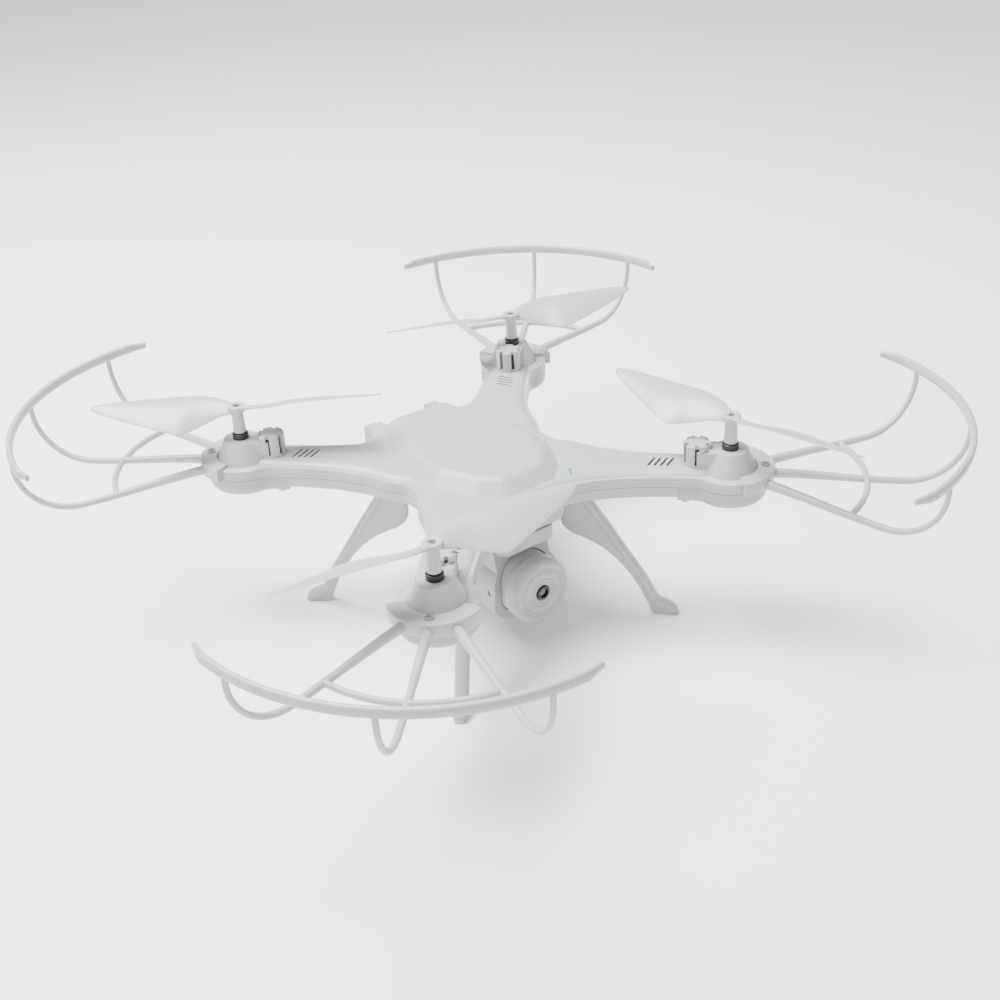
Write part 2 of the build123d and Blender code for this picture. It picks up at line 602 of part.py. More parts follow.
# ---------------------------------------------------------------- camera
housing_radius = 19.0
housing_front = -32.4
housing_back = -10.0
housing_z = camera_z - 2.0
neck_half = 15.0
visor_front = -35.5            # brow of the neck over the camera head
visor_z = camera_z + 20.3
ball_radius = 15.4
socket_radius = ball_radius + 0.4
puck_back = -36.0
face_y = -43.5
pin_radius = 1.5
with BuildPart() as housing:
    with BuildSketch(Plane.XZ.offset(-housing_back)):
        with Locations((0, housing_z)):
            Circle(housing_radius)
    extrude(amount=housing_back - housing_front)
    fillet(housing.faces().sort_by(Axis.Y)[-1].edges(), 6)
    with BuildSketch(Plane.XY.offset(belly_z)):
        with Locations((0, (visor_front + housing_back) / 2)):
            RectangleRounded(2 * neck_half, housing_back - visor_front - 1, 4)
    extrude(amount=housing_z - belly_z)
    # the mouth slopes back above and below the tilt axis
    with BuildSketch(Plane.YZ):
        Polygon((housing_front, camera_z), (housing_front + 5.8, visor_z), (-60, visor_z), align=None)
        Polygon((housing_front, camera_z), (housing_front + 12, camera_z - 42), (-60, camera_z - 42), align=None)
    extrude(amount=30, both=True, mode=Mode.SUBTRACT)
    with Locations((0, pivot_y, camera_z)):
        Sphere(socket_radius, mode=Mode.SUBTRACT)
        with Locations(Rotation(0, 90, 0)):
            Cylinder(pin_radius, 60, mode=Mode.SUBTRACT)
save(housing.part, "camera_housing")

barrel_radius = 3.5
with BuildPart() as head:
    with BuildSketch(Plane.XY):
        # half section in radius (X) and depth (Y), turned about the lens axis
        with BuildLine():
            ball_start = (sqrt(ball_radius ** 2 - (puck_back - pivot_y) ** 2), puck_back)
            ball_end = (sqrt(ball_radius ** 2 - 5.0 ** 2), pivot_y + 5.0)
            Line((barrel_radius, face_y), (camera_radius - 3, face_y))
            RadiusArc((camera_radius - 3, face_y), (camera_radius, face_y + 3), 3, short_sagitta=True)
            Line((camera_radius, face_y + 3), (camera_radius, puck_back))
            Line((camera_radius, puck_back), ball_start)
            RadiusArc(ball_start, ball_end, ball_radius, short_sagitta=True)
            Polyline(ball_end, (11.5, pivot_y + 5.0), (11.5, face_y + 2), (barrel_radius, face_y + 2),
                     (barrel_radius, face_y))
        make_face()
    revolve(axis=Axis.Y)
head_part = head.part.moved(Location((0, 0, camera_z)))
with BuildPart() as head_bored:
    add(head_part)
    with Locations(Location((0, pivot_y, camera_z), (0, 90, 0))):
        Cylinder(pin_radius + running_gap, 60, mode=Mode.SUBTRACT)
save(head_bored.part, "camera_head")

# the lens stack: barrel, glass, image board and the two tilt pins
barrel_length = 5.0
with BuildPart() as lens_barrel:
    with BuildSketch(Plane.XZ.offset(-face_y + 0.6)):
        with Locations((0, camera_z)):
            Circle(barrel_radius - seat_gap)
    extrude(amount=-barrel_length - 0.6)
    with BuildSketch(Plane.XZ.offset(-face_y + 0.7)):
        with Locations((0, camera_z)):
            Circle(2.3)
    extrude(amount=-2.2, taper=0, mode=Mode.SUBTRACT)
    chamfer(lens_barrel.faces().sort_by(Axis.Y)[0].edges().sort_by(SortBy.LENGTH)[-1], 0.4)
save(lens_barrel.part, "lens_barrel")

with BuildPart() as lens_glass:
    with BuildSketch(Plane.XZ.offset(-face_y - 0.4)):
        with Locations((0, camera_z)):
            Circle(2.3 - seat_gap)
    extrude(amount=-1.1)
    fillet(lens_glass.faces().sort_by(Axis.Y)[0].edges(), 0.5)
save(lens_glass.part, "lens_glass")

board_side = 15.0
board_front = face_y + barrel_length
with BuildPart() as camera_board:
    with Locations((0, board_front + 0.6, camera_z)):
        Box(board_side, 1.2, board_side)
    with Locations((0, board_front + 2.4, camera_z + 2)):
        Box(8, 2.4, 6)
    with Locations((0, board_front + 2.0, camera_z - 4.5)):
        Box(10, 1.6, 3)
save(camera_board.part, "camera_board")

with BuildPart() as tilt_pins:
    for side in (-1, 1):
        with Locations(Location((side * 15.6, pivot_y, camera_z), (0, 90, 0))):
            Cylinder(pin_radius - seat_gap, 5.4)
save(tilt_pins.part, "camera_tilt_pins")

# ---------------------------------------------------------------- battery and its door
with BuildPart() as battery_door:
    with Locations((0, tail_y - door_thickness / 2, (hinge_z + door_high) / 2)):
        Box(2 * door_half - 2 * fit_gap, door_thickness, door_high - hinge_z - fit_gap)
    with Locations(Location((0, hinge_y, hinge_z), (0, 90, 0))):
        Cylinder(hinge_radius, 2 * door_half - 2 * fit_gap)
        Cylinder(hinge_pin_radius, 2 * door_half + 2.0)
    with Locations((0, tail_y, door_high - 2.2)):
        Box(8, 1.0, 1.0)
save(battery_door.part, "battery_door")

with BuildPart() as battery:
    with Locations((0, battery_y, battery_low)):
        Box(battery_width, battery_length, battery_height, align=(Align.CENTER, Align.CENTER, Align.MIN))
    fillet(battery.edges().filter_by(Axis.Y), 2)
save(battery.part, "battery")

# ---------------------------------------------------------------- flight controller
with BuildPart() as circuit_board:
    with Locations((0, board_y, board_z)):
        Box(board_width, board_length, board_thickness, align=(Align.CENTER, Align.CENTER, Align.MIN))
    fillet(circuit_board.edges().filter_by(Axis.Z), 2)
    with Locations((0, board_y, board_z)):
        with GridLocations(board_width - board_inset, board_length - board_inset, 2, 2):
            Cylinder(screw_radius + seat_gap, 10, mode=Mode.SUBTRACT)
save(circuit_board.part, "circuit_board")

component_z = board_z + board_thickness
with BuildPart() as board_components:
    for place, size in (((0, 2), (7, 7, 1.0)), ((-9, 5), (4, 4, 0.9)), ((9, 6), (4, 5, 0.8)), ((9, -6), (3, 6, 1.4)),
                        ((-9, -7), (5, 3, 1.2)), ((0, -9), (8, 4, 2.0)), ((0, 12), (6, 4.5, 2.6))):
        with Locations((place[0], board_y + place[1], component_z)):
            Box(*size, align=(Align.CENTER, Align.CENTER, Align.MIN))
save(board_components.part, "board_components")

# ---------------------------------------------------------------- power switch
with BuildPart() as power_switch:
    with Locations((0, switch_y, belly_z - 1.0)):
        Box(knob_length, knob_width, 1.0 + wall + 0.4, align=(Align.CENTER, Align.CENTER, Align.MIN))
    with Locations((0, switch_y, belly_z + wall + 0.3)):
        Box(9.0, 4.6, 1.2, align=(Align.CENTER, Align.CENTER, Align.MIN))
save(power_switch.part, "power_switch")
with BuildPart() as switch_body:
    with Locations((switch_travel / 2, switch_y, belly_z + wall)):
        Box(18.0, 8.0, 5.0, align=(Align.CENTER, Align.CENTER, Align.MIN))
        Box(14.0, 5.2, 2.0, align=(Align.CENTER, Align.CENTER, Align.MIN), mode=Mode.SUBTRACT)
save(switch_body.part, "switch_body")

# ---------------------------------------------------------------- screws
def screw(length):
    """A pan head screw with a cross slot, head above Z = 0 and thread below."""
    with BuildPart() as drawn:
        Cylinder(screw_head_radius, 0.9, align=(Align.CENTER, Align.CENTER, Align.MIN))
        Cylinder(screw_radius, length, align=(Align.CENTER, Align.CENTER, Align.MAX))
        with Locations((0, 0, 0.9)):
            Box(2.2, 0.5, 0.9, mode=Mode.SUBTRACT)
            Box(0.5, 2.2, 0.9, mode=Mode.SUBTRACT)
    return drawn.part


def turned_over(piece, x, y, z):
    """A piece rolled upside down and set at the given place."""
    return piece.moved(Location((x, y, z), (180, 0, 0)))


guard_screw = screw(plate_top - ceiling_z).moved(Location((arm_reach + guard_screw_reach, 0, plate_top)))
save(Compound([guard_screw.rotate(Axis.Z, a) for a in corners.values()]), "guard_screws")

case_screw = turned_over(screw(8), arm_post_reach, 0, arm_bottom + head_recess)
save(Compound([case_screw.rotate(Axis.Z, a) for a in corners.values()]), "case_screws")

cover_screws = [turned_over(screw(8), x, y, pod_bottom + head_recess) for x, y in cover_posts]
save(Compound([s.rotate(Axis.Z, a) for s in cover_screws for a in corners.values()]), "pod_cover_screws")

board_screws = []
for side in (-1, 1):
    for end in (-1, 1):
        board_screws.append(turned_over(screw(5), side * (board_width - board_inset) / 2,
                                        board_y + end * (board_length - board_inset) / 2, board_z))
save(Compound(board_screws), "board_screws")
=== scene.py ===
"""A white toy quadcopter with ring guards round its propellers, splayed legs and a tilting camera.

The moulded shells, gears, motors and screws are the CAD model's own. The slender outer pieces, which
are guards, propellers, legs and the camera's face, are worked out again here with smoother surfaces.
"""
import json
import math

import bpy
import numpy as np
from mathutils import Matrix, Vector


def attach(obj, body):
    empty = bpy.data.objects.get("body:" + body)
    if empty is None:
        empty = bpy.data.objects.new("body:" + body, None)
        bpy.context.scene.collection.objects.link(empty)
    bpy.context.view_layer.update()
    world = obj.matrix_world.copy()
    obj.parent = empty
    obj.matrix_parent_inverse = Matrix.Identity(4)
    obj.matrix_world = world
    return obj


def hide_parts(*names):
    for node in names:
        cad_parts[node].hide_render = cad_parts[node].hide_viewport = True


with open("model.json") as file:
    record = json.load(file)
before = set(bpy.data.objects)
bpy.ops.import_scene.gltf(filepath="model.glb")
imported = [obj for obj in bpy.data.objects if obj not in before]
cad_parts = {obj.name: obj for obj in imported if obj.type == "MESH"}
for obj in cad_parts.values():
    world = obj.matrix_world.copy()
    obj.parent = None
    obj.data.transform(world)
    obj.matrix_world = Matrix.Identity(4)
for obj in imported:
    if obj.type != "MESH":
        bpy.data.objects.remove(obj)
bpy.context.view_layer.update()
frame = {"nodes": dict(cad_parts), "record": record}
joint_place = {j["name"]: np.array(j["pos_m"]) for j in frame["record"]["behaviour"]["joints"]}
corner_angle = {"rear_right": 45.0, "rear_left": 135.0, "front_left": 225.0, "front_right": 315.0}

# ---------------------------------------------------------------- moulded shells
# The top and bottom shells, pod covers, battery door and camera housing are injection moulded
# ABS about 1.4 mm thick, semi-gloss from a polished mould and screwed together from below.
WHITE = (0.40, 0.40, 0.408)
COVER_WHITE = (0.35, 0.348, 0.378)


def finish_material(name, colour, roughness, drift=0.03, cloud_size=0.03, metallic=0.0,
                    grain=0.0, grain_size=0.0004, coat=0.0):
    """A finish whose shade and gloss drift over the piece.

    Colour runs from colour x (1 - drift) to colour x (1 + drift) by soft noise of the given cloud size,
    roughness follows a second noise by a tenth, and grain is the height of a fine noise bump in metres.
    """
    material = bpy.data.materials.new(name)
    material.use_nodes = True
    nodes = material.node_tree.nodes
    links = material.node_tree.links
    shader = nodes["Principled BSDF"]
    shader.inputs["Metallic"].default_value = metallic
    shader.inputs["Coat Weight"].default_value = coat
    place = nodes.new("ShaderNodeTexCoord")
    cloud = nodes.new("ShaderNodeTexNoise")
    cloud.inputs["Scale"].default_value = 1.0 / cloud_size
    cloud.inputs["Detail"].default_value = 3.0
    links.new(place.outputs["Object"], cloud.inputs["Vector"])
    shade = nodes.new("ShaderNodeMix")
    shade.data_type = "RGBA"
    shade.inputs[6].default_value = (*[c * (1 - drift) for c in colour], 1)
    shade.inputs[7].default_value = (*[min(c * (1 + drift), 1) for c in colour], 1)
    links.new(cloud.outputs["Fac"], shade.inputs[0])
    links.new(shade.outputs[2], shader.inputs["Base Color"])
    gloss = nodes.new("ShaderNodeTexNoise")
    gloss.inputs["Scale"].default_value = 3.0 / cloud_size
    links.new(place.outputs["Object"], gloss.inputs["Vector"])
    spread = nodes.new("ShaderNodeMapRange")
    spread.inputs["To Min"].default_value = roughness * 0.9
    spread.inputs["To Max"].default_value = roughness * 1.1
    links.new(gloss.outputs["Fac"], spread.inputs["Value"])
    links.new(spread.outputs["Result"], shader.inputs["Roughness"])
    if grain:
        fine = nodes.new("ShaderNodeTexNoise")
        fine.inputs["Scale"].default_value = 1.0 / grain_size
        fine.inputs["Detail"].default_value = 2.0
        links.new(place.outputs["Object"], fine.inputs["Vector"])
        bump = nodes.new("ShaderNodeBump")
        bump.inputs["Distance"].default_value = grain
        bump.inputs["Strength"].default_value = 1.0
        links.new(fine.outputs["Fac"], bump.inputs["Height"])
        links.new(bump.outputs["Normal"], shader.inputs["Normal"])
    return material


finishes = {
    "body_white": finish_material("semi_gloss_white_abs", WHITE, 0.34, grain=0.000004),
    "cover_white": finish_material("lavender_grey_abs", COVER_WHITE, 0.36, grain=0.000004),
    "propeller_white": finish_material("white_nylon_blade", (0.42, 0.42, 0.43), 0.30),
    "black_plastic": finish_material("black_moulded_plastic", (0.012, 0.012, 0.014), 0.32,
                                     drift=0.15),
    "led_green": finish_material("green_light_guide", (0.03, 0.42, 0.09), 0.2,
                                 drift=0.15, cloud_size=0.003),
    "lens_glass": finish_material("coated_lens_glass", (0.01, 0.011, 0.016), 0.06,
                                  drift=0.3, cloud_size=0.002, coat=1.0),
    "gear_nylon": finish_material("natural_nylon", (0.78, 0.75, 0.68), 0.5,
                                  drift=0.04, cloud_size=0.01),
    "bush_brass": finish_material("turned_brass", (0.72, 0.50, 0.17), 0.28,
                                  metallic=1.0, cloud_size=0.004),
    "motor_steel": finish_material("drawn_motor_can", (0.52, 0.53, 0.55), 0.3,
                                   metallic=1.0, cloud_size=0.006),
    "shaft_steel": finish_material("ground_steel", (0.6, 0.61, 0.62), 0.22,
                                   metallic=1.0, cloud_size=0.004),
    "screw_steel": finish_material("zinc_plated_screw", (0.42, 0.43, 0.45), 0.33,
                                   metallic=1.0, cloud_size=0.003),
    "board_green": finish_material("solder_mask", (0.015, 0.14, 0.045), 0.35,
                                   drift=0.2, cloud_size=0.008),
    "battery_wrap": finish_material("shrink_wrap", (0.05, 0.08, 0.3), 0.3,
                                    drift=0.1, cloud_size=0.01),
}
# Painted shade: the seam between the shells and a fine step above it are darkened in the colour as thin
# level lines.
seam_height = 0.0746          # where the shells meet
seam_shade_half = 0.00016
seam_shade_keep = 0.35              # share of the finish's colour left in the painted seam shade
lip_height = 0.0761           # a fine step runs round the upper shell above the seam; its shade is painted in as a fainter dark line
lip_shade_half = 0.00012
lip_shade_keep = 0.72


def with_painted_seam_shade(material, lines):
    """Paints shade into a finish as dark level lines, each given as (height, half its width, share of
    colour kept).

    The colour is multiplied by the share wherever |z - height| is less than the half width.
    """
    nodes = material.node_tree.nodes
    links = material.node_tree.links
    shader = nodes["Principled BSDF"]
    colour = shader.inputs["Base Color"].links[0].from_socket
    place = nodes.new("ShaderNodeTexCoord")
    split = nodes.new("ShaderNodeSeparateXYZ")
    links.new(place.outputs["Object"], split.inputs["Vector"])
    for height, half, keep in lines:
        away = nodes.new("ShaderNodeMath")
        away.operation = "SUBTRACT"
        away.inputs[1].default_value = height
        links.new(split.outputs["Z"], away.inputs[0])
        size = nodes.new("ShaderNodeMath")
        size.operation = "ABSOLUTE"
        links.new(away.outputs[0], size.inputs[0])
        inside = nodes.new("ShaderNodeMath")
        inside.operation = "LESS_THAN"
        inside.inputs[1].default_value = half
        links.new(size.outputs[0], inside.inputs[0])
        darker = nodes.new("ShaderNodeMix")
        darker.data_type = "RGBA"
        darker.blend_type = "MULTIPLY"
        darker.inputs[7].default_value = (keep, keep, keep, 1)
        links.new(inside.outputs[0], darker.inputs[0])
        links.new(colour, darker.inputs[6])
        colour = darker.outputs[2]
    links.new(colour, shader.inputs["Base Color"])


# the shells and pod covers get painted shade at the seam, and the shells a fainter painted line at the
# step
shell_finish_with_painted_shade = finish_material("shell_abs_painted_seam_shade", WHITE, 0.34, grain=0.000004)
with_painted_seam_shade(shell_finish_with_painted_shade, [(seam_height, seam_shade_half, seam_shade_keep),
                                 (lip_height, lip_shade_half, lip_shade_keep)])
cover_finish_with_painted_shade = finish_material("pod_cover_abs_painted_seam_shade", COVER_WHITE, 0.36, grain=0.000004)
with_painted_seam_shade(cover_finish_with_painted_shade, [(seam_height, seam_shade_half, seam_shade_keep)])
for entry in frame["record"]["subparts"]:
    node = frame["nodes"][entry["node"]]
    finish = finishes[entry["material_slot"]]
    if entry["node"] in ("top_shell", "bottom_shell"):
        finish = shell_finish_with_painted_shade
    if entry["node"] in [f"pod_cover_{corner}" for corner in corner_angle]:
        finish = cover_finish_with_painted_shade
    node.data.materials.clear()
    node.data.materials.append(finish)

# ---------------------------------------------------------------- propeller guards
# Each guard is one white moulding: a band that wraps the motor pod, three long fingers that run
# level and curl up at the end, a tie arc across them and a quarter-circle rim. One screw holds it.


def mesh_piece(name, shells, material_slot, crease=35.0):
    """One object from closed shells, each a grid of points whose columns run round the section.

    Faces join neighbours in the grid; the first and last rows are closed by a fan to their mean point,
    or to each other when the shell is a ring. A shell whose signed volume is negative is turned out.
    """
    points = []
    quads = []
    fans = []
    total = 0
    for grid, ring in shells:
        rows, columns, _ = grid.shape
        index = np.arange(rows * columns).reshape(rows, columns)
        index = np.vstack([index, index[:1]]) if ring else index
        a = index[:-1]
        b = index[1:]
        faces = np.stack([a, np.roll(a, -1, 1), np.roll(b, -1, 1), b], -1).reshape(-1, 4)
        flat = grid.reshape(-1, 3)
        caps = np.zeros((0, 3), int)
        if not ring:
            first, last = rows * columns, rows * columns + 1
            flat = np.vstack([flat, grid[0].mean(0), grid[-1].mean(0)])
            start, end = index[0], index[-1]
            caps = np.vstack([np.stack([np.roll(start, -1), start, np.full(columns, first)], -1),
                              np.stack([end, np.roll(end, -1), np.full(columns, last)], -1)])
        corners = [flat[faces[:, i]] for i in range(4)]
        volume = np.einsum("ij,ij->", corners[0], np.cross(corners[1], corners[2]))
        volume += np.einsum("ij,ij->", corners[0], np.cross(corners[2], corners[3]))
        volume += np.einsum("ij,ij->", flat[caps[:, 0]], np.cross(flat[caps[:, 1]], flat[caps[:, 2]]))
        if volume < 0:
            faces, caps = faces[:, ::-1], caps[:, ::-1]
        points.append(flat)
        quads.append(faces + total)
        fans.append(caps + total)
        total += len(flat)
    mesh = bpy.data.meshes.new(name)
    faces = np.vstack(quads).tolist() + np.vstack(fans).tolist()
    mesh.from_pydata(np.vstack(points).tolist(), [], faces)
    mesh.validate()
    piece = bpy.data.objects.new(name, mesh)
    bpy.context.scene.collection.objects.link(piece)
    mesh.materials.append(finishes[material_slot])
    mesh.shade_smooth()
    mesh.set_sharp_from_angle(angle=math.radians(crease))
    return piece


def carried(path, side, width, height, squareness=1.0, sides=28):
    """A section carried along a path: centre + side x width/2 x c + up x height/2 x s.

    c and s are cosine and sine round the section, each raised to the squareness power with its sign
    kept, and up is the path's direction crossed with side.
    """
    along = np.gradient(path, axis=0)
    along /= np.linalg.norm(along, axis=1, keepdims=True)
    side = side - along * np.sum(side * along, axis=1, keepdims=True)
    side /= np.linalg.norm(side, axis=1, keepdims=True)
    up = np.cross(along, side)
    turn = np.linspace(0, 2 * np.pi, sides, endpoint=False)
    c = np.sign(np.cos(turn)) * np.abs(np.cos(turn)) ** squareness
    s = np.sign(np.sin(turn)) * np.abs(np.sin(turn)) ** squareness
    width = np.broadcast_to(width, len(path))[:, None, None]
    height = np.broadcast_to(height, len(path))[:, None, None]
    across = side[:, None] * width / 2 * c[None, :, None]
    return path[:, None] + across + up[:, None] * height / 2 * s[None, :, None]


def rounded(corners, radius, steps=4):
    """A closed outline whose corners are eased.

    Each corner becomes the quadratic curve start (1 - t)^2 + corner 2 t (1 - t) + end t^2, where start
    and end lie the radius away from the corner along its two edges.
    """
    corners = np.array(corners, float)
    before = np.roll(corners, 1, 0) - corners
    after = np.roll(corners, -1, 0) - corners
    near = np.minimum(radius, 0.45 * np.linalg.norm(before, axis=1))[:, None]
    far = np.minimum(radius, 0.45 * np.linalg.norm(after, axis=1))[:, None]
    start = corners + before / np.linalg.norm(before, axis=1, keepdims=True) * near
    end = corners + after / np.linalg.norm(after, axis=1, keepdims=True) * far
    t = np.linspace(0, 1, steps)[None, :, None]
    curve = start[:, None] * (1 - t) ** 2 + corners[:, None] * 2 * t * (1 - t) + end[:, None] * t ** 2
    return curve.reshape(-1, 2)


def turned_profile(profile, start, stop, steps):
    """Profile points (radius, height) swung about the Z axis: x = r cos a, y = r sin a, z = h."""
    angle = np.radians(np.linspace(start, stop, steps))
    radius, height = np.array(profile).T
    return np.stack([np.cos(angle)[:, None] * radius, np.sin(angle)[:, None] * radius,
                     np.broadcast_to(height, (steps, len(height)))], -1)


def turned(grid, degrees):
    """Points turned about +Z: x cos a - y sin a, x sin a + y cos a, z."""
    a = math.radians(degrees)
    turn = np.array([[math.cos(a), -math.sin(a), 0], [math.sin(a), math.cos(a), 0], [0, 0, 1]])
    return grid @ turn.T


def placed(grid, corner):
    """A grid drawn about a rotor axis with the arm along +X, turned and moved to one corner."""
    return turned(grid, corner_angle[corner]) + joint_place[f"spin_{corner}"] * (1, 1, 0)


def eased(value):
    """0 below 0, 1 above 1 and a smooth S between: v x v x (3 - 2 v)."""
    value = np.clip(value, 0, 1)
    return value * value * (3 - 2 * value)


boss_top = 0.089
rim_radius = 0.101
rim_height = boss_top + 0.015
rim_half = 45.0
side_finger = 33.0
pod_radius = 0.01705
band_outer = 0.02015
finger_root = boss_top - 0.012
finger_low = boss_top - 0.0144
curl_start = 0.076
tie_radius = 0.060
tie_height = boss_top - 0.0138
tie_width = 0.0028
tie_depth = 0.0030
rim_width = 0.0030
rim_depth = 0.0045
rim_end_sweep = 5.0           # over its last degrees the rim narrows and turns in
rim_end_thinning = 0.35
rim_end_tuck = 0.0016
finger_stations = [band_outer, 0.05, 0.085, rim_radius]
finger_widths = [0.0043, 0.0034, 0.0028, 0.0024]
finger_overlap = 0.0012       # how far a finger's root runs into the band
plate_inner = 0.0123          # the band's top plate reaches in under the guard screw
plate_top = boss_top - 0.0080
plate_under = boss_top - 0.0096
band_foot = boss_top - 0.0142
band_half = 70.0
band_corner = 0.0007

sweep = np.radians(np.linspace(-rim_half, rim_half, 121))
ending = eased((np.abs(np.degrees(sweep)) - (rim_half - rim_end_sweep)) / rim_end_sweep)
outward = np.stack([np.cos(sweep), np.sin(sweep), 0 * sweep], -1)
rim_path = (rim_radius - rim_end_tuck * ending)[:, None] * outward + (0, 0, rim_height)
thinned = 1 - rim_end_thinning * ending
rim = carried(rim_path, outward, rim_width * thinned, rim_depth * thinned, 0.8)

# a finger is level, then an arc that starts level and passes through the rim
curl_rise = rim_height - finger_low
curl_radius = ((rim_radius - curl_start) ** 2 + curl_rise ** 2) / (2 * curl_rise)
curl_end = math.pi - math.asin((rim_radius - curl_start) / curl_radius)
reach = np.linspace(band_outer - finger_overlap, curl_start, 50)
fall = eased((reach - band_outer) / (curl_start - band_outer))
level = finger_root + (finger_low - finger_root) * fall
bend = np.linspace(0, curl_end, 40)[1:]
finger_r = np.concatenate([reach, curl_start + curl_radius * np.sin(bend)])
finger_z = np.concatenate([level, finger_low + curl_radius * (1 - np.cos(bend))])
thickness = np.interp(finger_r, finger_stations, finger_widths)
tie_sweep = np.radians(np.linspace(-side_finger, side_finger, 61))
tie_outward = np.stack([np.cos(tie_sweep), np.sin(tie_sweep), 0 * tie_sweep], -1)
tie_path = tie_radius * tie_outward + (0, 0, tie_height)
tie = carried(tie_path, tie_outward, tie_width, tie_depth)
band_profile = rounded([(plate_inner + 0.0001, plate_under), (pod_radius, plate_under),
                        (pod_radius, band_foot), (band_outer, band_foot),
                        (band_outer, plate_top), (plate_inner, plate_top)], band_corner)
band = turned_profile(band_profile, -band_half, band_half, 81)
for corner in corner_angle:
    parts = [rim, tie, band]
    for angle in (-side_finger, 0.0, side_finger):
        a = math.radians(angle)
        path = np.stack([finger_r * math.cos(a), finger_r * math.sin(a), finger_z], -1)
        across = np.broadcast_to([-math.sin(a), math.cos(a), 0.0], path.shape)
        parts.append(carried(path, across, thickness, thickness, 0.9))
    shells = [(placed(part, corner), False) for part in parts]
    guard = mesh_piece(f"guard_moulding_{corner}", shells, "body_white")
    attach(guard, "airframe")
    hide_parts(f"propeller_guard_{corner}")

# ---------------------------------------------------------------- motor towers
# Each motor sits in a round tower with six upright cooling slots. The shade inside each slot is painted
# in as a thin black strip at its bottom, round the motor.
slot_radius = 0.00437
slot_foot = 0.0826
slot_shade_top = slot_foot + 0.0076
slot_shade_middle = slot_foot + 0.0044
slot_width = 0.00196
slot_shade_skin = 0.0002
slot_shade_parts = []
for corner, angle in corner_angle.items():
    tower_axis = joint_place[f"motor_spin_{corner}"] * (1, 1, 0)
    for step in range(6):
        a = math.radians(angle + 30 + 60 * step)
        path = tower_axis + np.array([[math.cos(a) * slot_radius, math.sin(a) * slot_radius, z]
                                      for z in (slot_foot, slot_shade_middle, slot_shade_top)])
        across = np.broadcast_to([-math.sin(a), math.cos(a), 0.0], path.shape)
        slot_shade_parts.append((carried(path, across, slot_width, slot_shade_skin, 0.3, 12), False))
# the black strips are painted shade at the bottom of the slots
slot_shade_strips = mesh_piece("painted_motor_slot_shade", slot_shade_parts, "black_plastic")
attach(slot_shade_strips, "airframe")

# ---------------------------------------------------------------- cooling vents
# Four slanted slots in the top of each arm let air to the motor. The shade inside them is painted in
# as a black strip in each slot, set just below the surface.
arm_top = 0.0814
vent_middle = 0.01575         # from the motor's axis in towards the body
vent_pitch = 0.0028
vent_slant = 70.0
vent_shade_half = 0.0037
vent_shade_width = 0.0009
vent_shade_height = 0.0024
vent_shade_drop = 0.0006
vent_shade_parts = []
for corner, angle in corner_angle.items():
    motor_axis = joint_place[f"motor_spin_{corner}"]
    motor_reach = math.hypot(motor_axis[0], motor_axis[1])
    for step in range(4):
        a, slant = math.radians(angle), math.radians(angle + vent_slant)
        reach_out = motor_reach - vent_middle + (step - 1.5) * vent_pitch
        middle_point = np.array([math.cos(a) * reach_out, math.sin(a) * reach_out,
                                 arm_top - vent_shade_drop - vent_shade_height / 2])
        along_slot = np.array([math.cos(slant), math.sin(slant), 0.0])
        path = middle_point + along_slot * np.linspace(-vent_shade_half, vent_shade_half, 5)[:, None]
        across = np.broadcast_to([-along_slot[1], along_slot[0], 0.0], path.shape)
        vent_shade_parts.append((carried(path, across, vent_shade_width, vent_shade_height, 0.25, 16), False))
# the black strips are painted shade in the vent slots
painted_vent_shade = mesh_piece("painted_vent_shade", vent_shade_parts, "black_plastic")
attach(painted_vent_shade, "airframe")

# ---------------------------------------------------------------- propellers
# Two-bladed propellers moulded in thin white nylon, pushed on the shaft and held by one small
# screw. Two turn each way, so two are the mirror image of the others.
station = np.array([0.0015, 0.009, 0.017, 0.0255, 0.031, 0.045, 0.060, 0.067])
lead_edge = np.array([-3.2, -6.6, -7.9, -7.7, -7.3, -6.4, -5.2, -3.6]) / 1000
lead_rise = np.array([15.7, 17.6, 18.8, 19.2, 19.3, 19.3, 19.2, 18.9]) / 1000
trail_edge = np.array([3.2, 4.2, 8.6, 13.6, 12.6, 7.8, 2.0, -1.4]) / 1000
trail_rise = np.array([13.9, 12.4, 10.4, 9.8, 10.9, 13.4, 16.2, 17.9]) / 1000
blade_thickness = np.array([2.6, 2.0, 1.7, 1.4, 1.3, 1.1, 0.9, 0.7]) / 1000
arch = 0.24
tip_start = 0.0635
tip_length = 0.0036
tip_fine = 0.0025             # sections lie closer over this end of the span


def through(x, known_x, known_y):
    """A smooth curve through known points.

    Each span is the cubic that has its two end values and two end slopes, and a slope at a point is
    the weighted mean of the straight slopes on both sides.
    """
    slope = np.gradient(known_y, known_x)
    i = np.clip(np.searchsorted(known_x, x) - 1, 0, len(known_x) - 2)
    h = known_x[i + 1] - known_x[i]
    t = (x - known_x[i]) / h
    return (known_y[i] * (1 + 2 * t) * (1 - t) ** 2 + slope[i] * h * t * (1 - t) ** 2
            + known_y[i + 1] * t * t * (3 - 2 * t) + slope[i + 1] * h * t * t * (t - 1))


